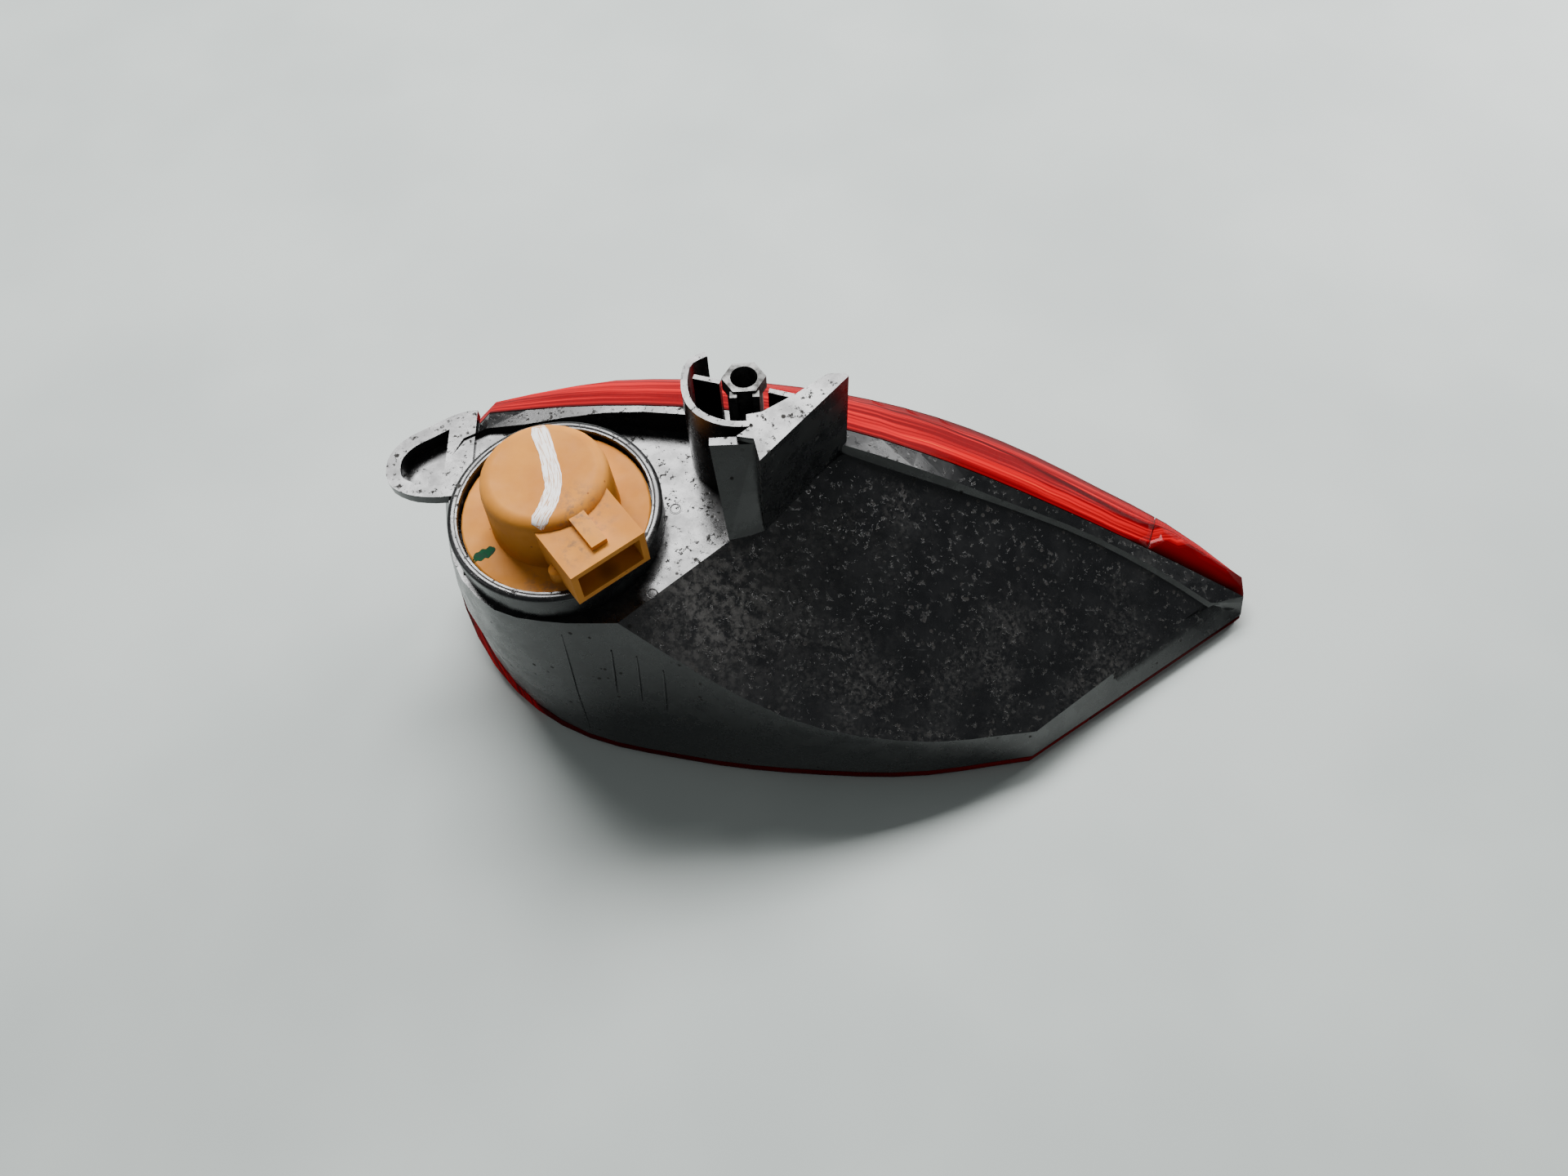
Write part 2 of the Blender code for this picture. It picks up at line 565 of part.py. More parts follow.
def make_holder(finish):
    """One moulding: cap, flange, neck with three lugs, and the connector shroud with its latch rib."""
    top_edge = [(CAP_R - 3.2 + 3.2 * math.sin(a), CAP_TOP - 3.2 + 3.2 * math.cos(a))
                for a in np.linspace(0.0, math.pi / 2, 5)]
    outside = [(0.0, CAP_TOP)] + top_edge + [
        (CAP_R + 0.6, FLANGE_TOP), (HOLDER_FLANGE_R - 0.4, FLANGE_TOP), (HOLDER_FLANGE_R, FLANGE_TOP - 0.4),
        (HOLDER_FLANGE_R, FLANGE_TOP - 2.0), (HOLDER_NECK_R, FLANGE_TOP - 2.0), (HOLDER_NECK_R, 52.0),
        (12.2, 52.0), (11.8, 55.5), (BORE_R, 56.8), (BORE_R, 80.4), (0.0, 80.4)]
    item = new_object("bulb_holder", turned(outside, 40, closed=False))
    shroud = block((11.0, -SHROUD_HALF_WIDTH, SHROUD_BOTTOM), (SHROUD_FRONT, SHROUD_HALF_WIDTH, SHROUD_TOP))
    cut_with(item, shroud, "UNION")
    foot = block((13.0, -6.5, FLANGE_TOP - 1.0), (20.5, 6.5, SHROUD_BOTTOM + 0.5))
    cut_with(item, foot, "UNION")
    latch = block((12.5, -2.0, SHROUD_TOP - 0.5), (23.5, 2.0, SHROUD_TOP + 1.5))
    cut_with(item, latch, "UNION")
    cavity = block((SHROUD_CAVITY_BACK, -SHROUD_HALF_WIDTH + SHROUD_WALL, SHROUD_BOTTOM + SHROUD_WALL),
                   (SHROUD_FRONT + 1.0, SHROUD_HALF_WIDTH - SHROUD_WALL, SHROUD_TOP - SHROUD_WALL))
    cut_with(item, cavity)
    bore = turned([(0.0, 56.9), (BORE_R, 56.9), (BORE_R, 80.4), (0.0, 80.4)], 40, closed=False)
    cut_with(item, bore)
    for side in (-1, 1):
        slot = block((6.0, side * BLADE_Y - 1.7, BLADE_Z - 0.7), (14.0, side * BLADE_Y + 1.7, BLADE_Z + 0.7))
        cut_with(item, slot)
    for angle in LUG_ANGLES:
        half = math.radians(LUG_HALF_ANGLE)
        sweep = np.linspace(-half, half, 4)
        outline = [(LUG_R * math.cos(a), LUG_R * math.sin(a)) for a in sweep]
        outline += [(14.6 * math.cos(a), 14.6 * math.sin(a)) for a in sweep[::-1]]
        lug = spun(prism(outline, LUG_BOTTOM, LUG_TOP), angle - HOLDER_UNLOCK - HOLDER_TURN)
        cut_with(item, lug, "UNION")
    item.rotation_euler.z = math.radians(HOLDER_TURN)
    finish_object(item, finish, 32)


def make_gasket(finish):
    profile = [(17.2, 60.5), (20.6, 60.5), (21.4, 61.6), (20.6, 62.4), (21.4, 63.2), (21.0, 63.7), (17.2, 63.7)]
    new_object("holder_gasket", turned(profile, 40), finish, 40)


def make_sleeve(finish):
    """Metal socket that the bulb base slides in, with an L-shaped slot on each side for the bulb's pins."""
    item = new_object("socket_sleeve", turned([(7.8, 57.2), (9.1, 57.2), (9.1, 73.4), (7.8, 73.4)], 40))
    clear = BULB_PIN_R + FIT_GAP
    for side in (0.0, 180.0):
        entry = block((6.5, -clear, 56.0), (10.5, clear, BULB_PIN_Z + clear + BULB_TRAVEL))
        cut_with(item, spun(entry, side + BULB_TWIST))
        for step in np.linspace(0.0, BULB_TWIST, 4):
            run = block((6.5, -clear, BULB_PIN_Z - clear), (10.5, clear, BULB_PIN_Z + clear + BULB_TRAVEL))
            cut_with(item, spun(run, side + step))
    finish_object(item, finish, 30)


def make_terminals(finish):
    for name, side in (("terminal_live", 1), ("terminal_earth", -1)):
        low = (7.4, side * BLADE_Y - 1.4, BLADE_Z - 0.4)
        high = (BLADE_END, side * BLADE_Y + 1.4, BLADE_Z + 0.4)
        item = new_object(name, block(low, high), finish)
        item.rotation_euler.z = math.radians(HOLDER_TURN)


def make_contact(plate_finish, metal):
    plate = turned([(1.9, 72.6), (7.2, 72.6), (7.2, 74.0), (1.9, 74.0)], 28)
    new_object("contact_carrier", plate, plate_finish, 30)
    rivet = [(0.0, 72.65), (1.3, 72.65), (1.6, 73.0), (1.6, 74.4), (0.0, 74.4)]
    new_object("centre_contact", turned(rivet, 20, closed=False), metal, 30)


def make_contact_spring(finish):
    """Coil that presses the contact plate down on the bulb."""
    turns, wire, radius = 4, 0.35, 5.6
    low, high = 74.3 + wire, 80.1 - wire
    curve = bpy.data.curves.new("contact_spring", "CURVE")
    curve.dimensions = "3D"
    curve.bevel_depth = wire * MM
    curve.bevel_resolution = 1
    curve.use_fill_caps = True
    line = curve.splines.new("POLY")
    count = turns * 16
    line.points.add(count)
    for i in range(count + 1):
        angle = 2 * math.pi * turns * i / count
        z = low + (high - low) * i / count
        line.points[i].co = (radius * math.cos(angle) * MM, radius * math.sin(angle) * MM, z * MM, 1.0)
    item = bpy.data.objects.new("contact_spring", curve)
    bpy.context.collection.objects.link(item)
    curve.materials.append(finish)


# ------------------------------------------------------------------ bulb

GLASS = [(6.9, 59.6), (6.9, 56.2), (7.5, 54.0), (8.5, 52.0), (10.6, 49.5), (12.4, 46.0), (13.2, 41.5), (13.0, 37.0),
         (11.8, 32.5), (9.2, 29.0), (5.0, 26.7), (0.0, 26.0)]


def make_bulb(glass, nickel, solder, ceramic, tungsten):
    base = [(7.5, 56.6), (7.5, 70.0), (6.4, 71.0), (2.8, 71.0), (2.8, 70.2), (6.0, 70.2), (7.1, 69.4), (7.1, 56.6)]
    new_object("bulb_base", turned(base, 32), nickel, 30)
    for name, side in (("bulb_pin_left", -1), ("bulb_pin_right", 1)):
        pin = turned([(0.0, 7.75), (BULB_PIN_R, 7.75), (BULB_PIN_R, 8.95), (0.0, 8.95)], 12, closed=False)
        bmesh.ops.rotate(pin, matrix=Matrix.Rotation(math.radians(90.0 * side), 3, "Y"), verts=pin.verts)
        new_object(name, moved(pin, 0.0, 0.0, BULB_PIN_Z), nickel, 30)
    insulator = [(0.0, 66.5), (5.6, 66.5), (5.6, 69.9), (0.0, 69.9)]
    new_object("bulb_insulator", turned(insulator, 28, closed=False), ceramic, 30)
    tip = [(0.0, 70.3), (2.4, 70.3), (2.4, 71.5), (1.4, 72.3), (0.0, 72.3)]
    new_object("bulb_contact", turned(tip, 20, closed=False), solder, 30)
    inside = [(max(r - 0.7, 0.0), z) for r, z in reversed(GLASS)]
    inside[0] = (0.0, GLASS[-1][1] + 0.7)
    new_object("bulb_glass", turned(GLASS + inside, 32), glass, 60)
    stem = [(0.0, 62.0), (5.4, 62.0), (5.4, 58.6), (2.6, 55.0), (1.6, 47.5), (0.0, 47.0)]
    new_object("bulb_stem", turned(stem, 24, closed=False), glass, 40)
    for name, side in (("filament_post_left", -1), ("filament_post_right", 1)):
        wire = prism([(-0.3, -0.3), (0.3, -0.3), (0.3, 0.3), (-0.3, 0.3)], 38.4, 46.6)
        new_object(name, moved(wire, side * 3.5, 0.0), nickel)
    filament = turned([(0.0, -2.9), (0.7, -2.9), (0.7, 2.9), (0.0, 2.9)], 12, closed=False)
    bmesh.ops.rotate(filament, matrix=Matrix.Rotation(math.radians(90), 3, "Y"), verts=filament.verts)
    new_object("filament", moved(filament, 0.0, 0.0, 39.2), tungsten, 30)


# ------------------------------------------------------------------ main

def clear_scene():
    for item in list(bpy.data.objects):
        bpy.data.objects.remove(item)


def main():
    clear_scene()
    black = material("black_plastic", (0.020, 0.020, 0.021), 0.35)
    lamp_red = material("lamp_red", (0.55, 0.006, 0.012), 0.08, transmission=0.6)
    reflex_red = material("reflex_red", (0.42, 0.004, 0.010), 0.12, transmission=0.3)
    orange = material("orange_plastic", (0.62, 0.29, 0.09), 0.45)
    rubber = material("black_rubber", (0.015, 0.015, 0.015), 0.8)
    zinc = material("zinc_steel", (0.62, 0.62, 0.60), 0.35, metallic=1.0)
    brass = material("tinned_brass", (0.72, 0.66, 0.50), 0.3, metallic=1.0)
    mirror = material("metallised", (0.85, 0.85, 0.86), 0.08, metallic=1.0)
    glass = material("clear_glass", (0.95, 0.95, 0.95), 0.02, transmission=1.0)
    nickel = material("nickel", (0.70, 0.66, 0.60), 0.25, metallic=1.0)
    solder = material("solder", (0.55, 0.55, 0.56), 0.5, metallic=1.0)
    ceramic = material("black_glass", (0.03, 0.03, 0.035), 0.2)
    tungsten = material("tungsten", (0.25, 0.25, 0.26), 0.5, metallic=1.0)
    make_housing(black)
    make_snap_nut(zinc)
    make_lens(lamp_red, reflex_red)
    make_reflector(mirror)
    make_reflex_backing(black)
    make_holder(orange)
    make_gasket(rubber)
    make_sleeve(brass)
    make_terminals(brass)
    make_contact(ceramic, brass)
    make_contact_spring(zinc)
    make_bulb(glass, nickel, solder, ceramic, tungsten)
    for item in bpy.data.objects:
        item.location -= Vector((*LAMP_CENTRE, 0.0)) * MM


main()
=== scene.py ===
"""Looks of the rear bumper lamp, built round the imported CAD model.

Lengths in the constants are millimetres, except where a name ends in _M.
"""
import json
import math

import bmesh
import bpy
from mathutils import Matrix, Vector
from mathutils.bvhtree import BVHTree


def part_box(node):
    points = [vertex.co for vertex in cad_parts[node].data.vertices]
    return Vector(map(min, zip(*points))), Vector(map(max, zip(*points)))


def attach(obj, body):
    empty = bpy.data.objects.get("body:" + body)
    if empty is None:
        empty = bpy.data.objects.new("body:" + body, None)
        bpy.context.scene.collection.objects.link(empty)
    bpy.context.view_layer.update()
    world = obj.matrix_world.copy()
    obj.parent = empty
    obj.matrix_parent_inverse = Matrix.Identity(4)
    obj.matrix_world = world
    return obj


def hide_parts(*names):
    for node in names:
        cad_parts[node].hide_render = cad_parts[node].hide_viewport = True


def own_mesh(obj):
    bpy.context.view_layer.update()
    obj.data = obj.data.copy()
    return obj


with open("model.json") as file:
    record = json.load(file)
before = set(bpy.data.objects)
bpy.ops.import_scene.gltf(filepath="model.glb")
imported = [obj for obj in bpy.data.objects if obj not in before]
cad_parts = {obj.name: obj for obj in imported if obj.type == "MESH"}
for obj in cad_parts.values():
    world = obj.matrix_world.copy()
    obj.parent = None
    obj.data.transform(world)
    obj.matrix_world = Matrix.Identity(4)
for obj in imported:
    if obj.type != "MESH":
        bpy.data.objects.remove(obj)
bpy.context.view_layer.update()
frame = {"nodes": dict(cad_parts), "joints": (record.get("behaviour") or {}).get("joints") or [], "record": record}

MM = 0.001
NODES = frame["nodes"]

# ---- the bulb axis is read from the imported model; the levels are those of its mouldings
turn_joint = next(j for j in frame["joints"] if j["name"] == "holder_turn")
AXIS = Vector((turn_joint["pos_m"][0], turn_joint["pos_m"][1], 0.0))      # bulb axis
HOLDER_TURN = math.radians(-55.0)                                        # where the connector points
FLANGE_LEVEL = 66.0                                                      # top of the holder's flange
COLLAR_LEVEL = 68.0                                                      # top of the housing's collar

# ---- rays that look for a surface start well outside the lamp
RAY_TOP_M = 1.0
RAY_NEAR_M = -0.2

# ---- collar lip: the rounded bead along the collar's top edge
LIP_RADIUS = 24.45
LIP_HALF_WIDTH, LIP_HALF_HEIGHT = 1.25, 0.95
LIP_DROP = 0.75
LIP_POINTS = 16

# ---- lens: slices along it, and looks across each slice
LENS_SLICES = 46
LENS_LOOKS = 160

# ---- paint: the stroke over the cap and the dab on the flange, from the bulb axis
PAINT_THICKNESS = 0.25
STROKE_STOPS = [(-2.1, 14.3), (1.3, 4.0), (3.0, -3.9), (1.8, -9.5), (-0.6, -14.2)]
STROKE_STEPS = 40
STROKE_SMOOTHINGS = 8
STROKE_HALF_WIDTH = 1.95
STROKE_LIFT, DAB_LIFT = 0.08, 0.06
DAB_CENTRE = (-16.4, -10.9)
DAB_HALF_LENGTH, DAB_HALF_WIDTH, DAB_SLOPE = 2.6, 1.45, 1.1

# ---- small ears on either side of the connector, as (radius, height) and place on the holder
EAR_PROFILE = [(0.35, 68.9), (1.7, 68.9), (1.9, 69.2), (1.9, 72.2), (1.7, 72.6), (0.35, 72.7)]
EAR_ALONG, EAR_ASIDE = 17.5, 9.5

# ---- near wall: name, (x, z) of both ends, half width, height
WALL_RIBS = [("wall_rib_1", ((11.5, 50.0), (10.5, 33.0)), 0.35, 0.45),
             ("wall_rib_2", ((17.5, 49.0), (16.5, 31.0)), 0.35, 0.45),
             ("wall_rib_3", ((23.5, 46.0), (22.5, 29.0)), 0.35, 0.45),
             ("wall_seam", ((0.5, 55.0), (-0.5, 8.0)), 0.25, 0.25)]

# ---- round marks of the mould: x, y, radius, and the ring's (inset, lift) section
MOULD_MARKS = [(28.0, 3.0, 1.6), (22.5, -20.5, 1.5), (42.0, -27.0, 1.6),
               (38.5, -30.5, 1.3), (36.5, -34.5, 1.2)]
MOULD_SECTION = [(0.0, -0.2), (0.0, 0.08), (0.25, 0.12), (0.45, 0.02), (0.5, -0.2)]
MOULD_SEGMENTS = 32

# ---- stage
FLOOR_HALF_M = 3.0
WORLD_STRENGTH = 0.16
LIGHTS_AIM_M = (0.0, 0.0, 0.04)
# name, spot in metres, width, height, power
LAMPS = [("far_window", (-0.16, 0.79, 1.20), 0.95, 0.42, 44.0),
         ("right_panel", (0.95, 0.90, 0.58), 0.60, 0.40, 20.0),
         ("near_fill", (0.45, -0.95, 1.0), 0.9, 0.9, 0.8),
         ("left_fill", (-1.2, 0.1, 0.8), 0.8, 0.8, 2.0)]
CAMERA_PLACE = (53.5, -157.5, 301.5)
CAMERA_PITCH, CAMERA_ROLL = 60.5, -3.0                                   # degrees
CAMERA_LENS, CAMERA_SENSOR = 27.11, 36.0


def place(x, y, z=0.0):
    """World point of a point given in millimetres from the bulb axis."""
    return AXIS + Vector((x, y, z)) * MM


def on_holder(x, y, z=0.0):
    """World point of a point in the holder's own directions, X towards the connector's mouth."""
    c, s = math.cos(HOLDER_TURN), math.sin(HOLDER_TURN)
    return place(x * c - y * s, x * s + y * c, z)


# ------------------------------------------------------------------ shader helpers

class Shader:
    """A material under construction, with short ways to add the nodes used here."""

    def __init__(self, name, **sockets):
        self.material = bpy.data.materials.new(name)
        self.material.use_nodes = True
        self.tree = self.material.node_tree
        self.surface = self.tree.nodes["Principled BSDF"]
        for socket, value in sockets.items():
            self.surface.inputs[socket.replace("_", " ")].default_value = value
        self.place = self.tree.nodes.new("ShaderNodeTexCoord").outputs["Object"]

    def node(self, kind, **settings):
        made = self.tree.nodes.new(kind)
        for key, value in settings.items():
            setattr(made, key, value)
        return made

    def feed(self, socket, value):
        if isinstance(value, bpy.types.NodeSocket):
            self.tree.links.new(value, socket)
        else:
            socket.default_value = value

    def noise(self, size_mm, detail=4.0, rough=0.6, stretch=None):
        """Noise from 0 to 1 whose features are about size_mm across."""
        texture = self.node("ShaderNodeTexNoise")
        texture.inputs["Scale"].default_value = 1.0 / (size_mm * MM)
        texture.inputs["Detail"].default_value = detail
        texture.inputs["Roughness"].default_value = rough
        where = self.place
        if stretch is not None:
            where = self.stretched(stretch)
        self.tree.links.new(where, texture.inputs["Vector"])
        return texture.outputs["Fac"]

    def stretched(self, scale, angle=0.0):
        mapping = self.node("ShaderNodeMapping")
        mapping.inputs["Scale"].default_value = scale
        mapping.inputs["Rotation"].default_value = (0.0, 0.0, angle)
        self.tree.links.new(self.place, mapping.inputs["Vector"])
        return mapping.outputs["Vector"]

    def cells(self, size_mm):
        """Distance to the nearest of scattered points, 0 at each point."""
        texture = self.node("ShaderNodeTexVoronoi")
        texture.inputs["Scale"].default_value = 1.0 / (size_mm * MM)
        self.tree.links.new(self.place, texture.inputs["Vector"])
        return texture.outputs["Distance"]

    def ramp(self, value, low, high, start=0.0, end=1.0):
        """Smooth step of value from start at low to end at high."""
        made = self.node("ShaderNodeMapRange", interpolation_type="SMOOTHSTEP")
        for socket, number in zip(("From Min", "From Max", "To Min", "To Max"), (low, high, start, end)):
            made.inputs[socket].default_value = number
        self.feed(made.inputs["Value"], value)
        return made.outputs["Result"]

    def maths(self, operation, a, b):
        made = self.node("ShaderNodeMath", operation=operation)
        self.feed(made.inputs[0], a)
        self.feed(made.inputs[1], b)
        return made.outputs[0]

    def times(self, a, b):
        return self.maths("MULTIPLY", a, b)

    def colour(self, share, first, second):
        """Mix of two colours, each a tuple or a socket."""
        made = self.node("ShaderNodeMix", data_type="RGBA")
        self.feed(made.inputs[0], share)
        for socket, value in ((made.inputs[6], first), (made.inputs[7], second)):
            self.feed(socket, value if isinstance(value, bpy.types.NodeSocket) else (*value, 1.0))
        return made.outputs[2]

    def facing_up(self):
        normal = self.node("ShaderNodeTexCoord").outputs["Normal"]
        split = self.node("ShaderNodeSeparateXYZ")
        self.tree.links.new(normal, split.inputs[0])
        return split.outputs["Z"]

    def near(self, centre, inner_mm, outer_mm):
        """1 within inner_mm of a world point, fading to 0 at outer_mm."""
        distance = self.node("ShaderNodeVectorMath", operation="DISTANCE")
        self.tree.links.new(self.place, distance.inputs[0])
        distance.inputs[1].default_value = centre
        return self.ramp(distance.outputs["Value"], inner_mm * MM, outer_mm * MM, 1.0, 0.0)

    def attribute(self, name):
        return self.node("ShaderNodeAttribute", attribute_name=name).outputs["Fac"]

    def bump(self, height, depth_mm, strength=1.0):
        made = self.node("ShaderNodeBump")
        made.inputs["Strength"].default_value = strength
        made.inputs["Distance"].default_value = depth_mm * MM
        self.feed(made.inputs["Height"], height)
        self.tree.links.new(made.outputs["Normal"], self.surface.inputs["Normal"])

    def paint(self, colour=None, roughness=None):
        if colour is not None:
            self.feed(self.surface.inputs["Base Color"], colour)
        if roughness is not None:
            self.feed(self.surface.inputs["Roughness"], roughness)
        return self.material


# ------------------------------------------------------------------ materials

def black_plastic():
    """Glossy black moulding with grey dust, dirt specks and fine scuffs; beside the collar a lighter patch of dust
    and painted light.
    """
    s = Shader("housing_black", Specular_IOR_Level=0.6)
    clouds = s.ramp(s.noise(24.0, 5.0, 0.62), 0.44, 0.70)
    grain = s.ramp(s.noise(1.3, 6.0, 0.75), 0.44, 0.60)
    upward = s.ramp(s.facing_up(), 0.1, 0.9)
    dust = s.times(s.times(clouds, grain), s.ramp(upward, 0.0, 1.0, 0.03, 0.42))
    # Dust and painted light: extra speckled grey on upward faces beside the collar stands for a bright spot there.
    bright_spot_near_collar = s.near(place(34.0, -16.0, 52.0), 4.0, 34.0)
    powder_and_light = s.times(bright_spot_near_collar, s.ramp(s.noise(2.2, 6.0, 0.75), 0.42, 0.62))
    dust = s.maths("MAXIMUM", dust, s.times(powder_and_light, s.times(upward, 0.75)))
    dots = s.times(s.ramp(s.cells(3.2), 0.12, 0.22, 1.0, 0.0), s.ramp(s.noise(9.0), 0.48, 0.58))
    flecks = s.ramp(s.noise(1.7, 6.0, 0.72), 0.585, 0.63)
    dirt = s.maths("MAXIMUM", dots, s.times(flecks, upward))
    scuffs = s.ramp(s.noise(3.0, 3.0, 0.6, stretch=(0.12, 1.6, 1.0)), 0.68, 0.75)
    base = s.colour(dust, (0.0035, 0.0036, 0.0042), (0.075, 0.072, 0.068))
    base = s.colour(s.times(scuffs, 0.15), base, (0.10, 0.10, 0.10))
    base = s.colour(s.times(dirt, 0.9), base, (0.007, 0.005, 0.0035))
    gloss = s.ramp(s.noise(7.0, 5.0, 0.65), 0.3, 0.7, 0.20, 0.36)
    rough = s.maths("MAXIMUM", gloss, s.times(dirt, 0.9))
    s.bump(s.maths("SUBTRACT", s.noise(2.0, 4.0, 0.6), s.times(dirt, 1.5)), 0.05, 0.45)
    return s.paint(base, rough)


def orange_plastic():
    """Tan-orange moulding of uneven tone, with grime round the connector, painted shade in the connector's mouth
    and specks.
    """
    s = Shader("holder_orange", Specular_IOR_Level=0.12)
    tone = s.ramp(s.noise(14.0, 4.0, 0.6), 0.3, 0.7)
    base = s.colour(tone, (0.50, 0.185, 0.026), (0.60, 0.240, 0.038))
    streak = s.ramp(s.noise(2.4, 5.0, 0.7), 0.45, 0.7)
    neck = s.near(on_holder(14.0, 1.0, 79.5), 2.0, 11.0)
    latch = s.near(on_holder(21.0, -5.0, 79.5), 1.0, 6.0)
    grime = s.times(s.maths("MAXIMUM", neck, latch), s.times(streak, 0.8))
    low = s.near(on_holder(16.0, -14.0, FLANGE_LEVEL), 1.0, 9.0)
    grime = s.maths("MAXIMUM", grime, s.times(low, s.times(streak, 0.55)))
    base = s.colour(grime, base, (0.13, 0.095, 0.070))
    # Painted shade: the connector's mouth darkened round its opening.
    mouth = s.near(on_holder(24.0, 0.0, 74.3), 3.0, 5.5)
    base = s.colour(s.times(mouth, 0.85), base, (0.060, 0.022, 0.006))
    specks = s.ramp(s.cells(4.6), 0.035, 0.075, 1.0, 0.0)
    base = s.colour(s.times(specks, 0.75), base, (0.16, 0.045, 0.015))
    s.bump(s.noise(0.7, 4.0, 0.6), 0.03, 0.4)
    return s.paint(base, s.ramp(s.noise(6.0), 0.3, 0.7, 0.50, 0.68))


def red_lens(name, deep, bright):
    """Red acrylic with moulded lines along the lens, painted orange glints, painted shade along a crease and
    painted shade at its edges.
    """
    s = Shader(name, Specular_IOR_Level=0.0, Coat_Weight=0.10, Coat_Roughness=0.08)
    across = s.attribute("lens_across")
    along = s.attribute("lens_along")
    wave = s.node("ShaderNodeCombineXYZ")
    s.feed(wave.inputs[0], s.times(along, 2.2))
    s.feed(wave.inputs[1], s.times(across, 17.0))
    lines = s.node("ShaderNodeTexNoise")
    lines.inputs["Scale"].default_value = 1.0
    lines.inputs["Detail"].default_value = 3.0
    s.tree.links.new(wave.outputs[0], lines.inputs["Vector"])
    streak = s.ramp(lines.outputs["Fac"], 0.40, 0.66)
    # Painted shade: the lens darkened towards its rim and towards its shoulder.
    edge_shade = s.maths("MAXIMUM", s.ramp(across, 0.0, 0.10, 1.0, 0.0), s.ramp(across, 0.80, 1.0))
    base = s.colour(streak, deep, bright)
    # Painted highlight: orange glints on the brightest moulded lines, from about a third of the way along the
    # lens.
    painted_glint = s.times(s.ramp(lines.outputs["Fac"], 0.64, 0.72), s.ramp(along, 0.35, 0.6))
    base = s.colour(s.times(painted_glint, 0.7), base, (0.70, 0.09, 0.012))
    # Painted shade: a dark line along a crease inside the lens.
    fold_shade = s.maths("SUBTRACT", across, s.ramp(along, 0.50, 0.88, 0.72, 0.40))
    fold_shade = s.ramp(s.maths("ABSOLUTE", fold_shade, 0.0), 0.02, 0.07, 1.0, 0.0)
    base = s.colour(s.times(s.times(fold_shade, s.ramp(along, 0.48, 0.56)), 0.85), base, (0.035, 0.001, 0.002))
    # Painted shade at the lens's edges.
    base = s.colour(s.times(edge_shade, 0.80), base, (0.030, 0.0005, 0.001))
    s.bump(lines.outputs["Fac"], 0.25, 0.5)
    return s.paint(base, s.ramp(s.noise(5.0), 0.3, 0.7, 0.14, 0.26))


def metal(name, light, dark, rough, grain_mm=2.0):
    """Worn metal with slight tarnish."""
    s = Shader(name, Metallic=1.0)
    tarnish = s.ramp(s.noise(grain_mm, 5.0, 0.65), 0.40, 0.70)
    s.bump(s.noise(grain_mm * 0.3), 0.02, 0.4)
    worn = s.ramp(s.noise(grain_mm * 2), 0.3, 0.7, rough, rough + 0.18)
    return s.paint(s.colour(tarnish, light, dark), worn)


def dull(name, first, second, rough, grain_mm=1.5):
    """Matt moulding or rubber with a mottled surface."""
    s = Shader(name)
    tone = s.ramp(s.noise(grain_mm, 5.0, 0.65), 0.35, 0.65)
    s.bump(s.noise(grain_mm * 0.4), 0.05, 0.5)
    worn = s.ramp(s.noise(grain_mm * 3), 0.3, 0.7, rough, rough + 0.15)
    return s.paint(s.colour(tone, first, second), worn)


def clear_glass():
    """Bulb glass with a faint haze."""
    s = Shader("clear_glass", Transmission_Weight=1.0, IOR=1.5)
    haze = s.ramp(s.noise(8.0), 0.35, 0.7)
    return s.paint(s.colour(haze, (0.97, 0.97, 0.97), (0.82, 0.82, 0.80)), s.ramp(haze, 0.0, 1.0, 0.02, 0.08))


def brushed_paint():
    """White marker paint dragged over the plastic, thin enough in places to show what is below."""
    s = Shader("paint_white", Specular_IOR_Level=0.2)
    drag = s.node("ShaderNodeCombineXYZ")
    s.feed(drag.inputs[0], s.times(s.attribute("stroke_along"), 1.3))
    s.feed(drag.inputs[1], s.times(s.attribute("stroke_across"), 14.0))
    bristles = s.node("ShaderNodeTexNoise")
    bristles.inputs["Scale"].default_value = 1.0
    bristles.inputs["Detail"].default_value = 4.0
    s.tree.links.new(drag.outputs[0], bristles.inputs["Vector"])
    thin = s.ramp(bristles.outputs["Fac"], 0.50, 0.60)
    s.bump(bristles.outputs["Fac"], 0.06, 0.6)
    return s.paint(s.colour(thin, (0.88, 0.86, 0.84), (0.62, 0.36, 0.20)), s.ramp(thin, 0.0, 1.0, 0.35, 0.5))


def green_paint():
    """Dark green marker paint, nearly matt."""
    s = Shader("paint_green", Specular_IOR_Level=0.08)
    tone = s.ramp(s.noise(1.2, 4.0, 0.6), 0.35, 0.65)
    base = s.colour(tone, (0.001, 0.030, 0.012), (0.003, 0.060, 0.024))
    return s.paint(base, s.ramp(tone, 0.0, 1.0, 0.55, 0.7))


# ------------------------------------------------------------------ geometry helpers

def finish_piece(name, mesh_data, material, body, smooth_angle=35.0):
    """Turn a bmesh in world metres into a piece that rides on a body."""
    bmesh.ops.recalc_face_normals(mesh_data, faces=mesh_data.faces)
    mesh = bpy.data.meshes.new(name)
    mesh_data.to_mesh(mesh)
    mesh_data.free()
    mesh.materials.append(material)
    mesh.shade_smooth()
    mesh.set_sharp_from_angle(angle=math.radians(smooth_angle))
    piece = bpy.data.objects.new(name, mesh)
    bpy.context.scene.collection.objects.link(piece)
    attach(piece, body)
    return piece


def node_copy(node):
    """The CAD node's mesh with its split vertices joined and its flat areas made whole."""
    mesh_data = bmesh.new()
    mesh_data.from_mesh(NODES[node].data)
    bmesh.ops.remove_doubles(mesh_data, verts=mesh_data.verts, dist=1e-6)
    bmesh.ops.dissolve_limit(mesh_data, angle_limit=math.radians(0.5),
                             verts=mesh_data.verts, edges=mesh_data.edges)
    return mesh_data


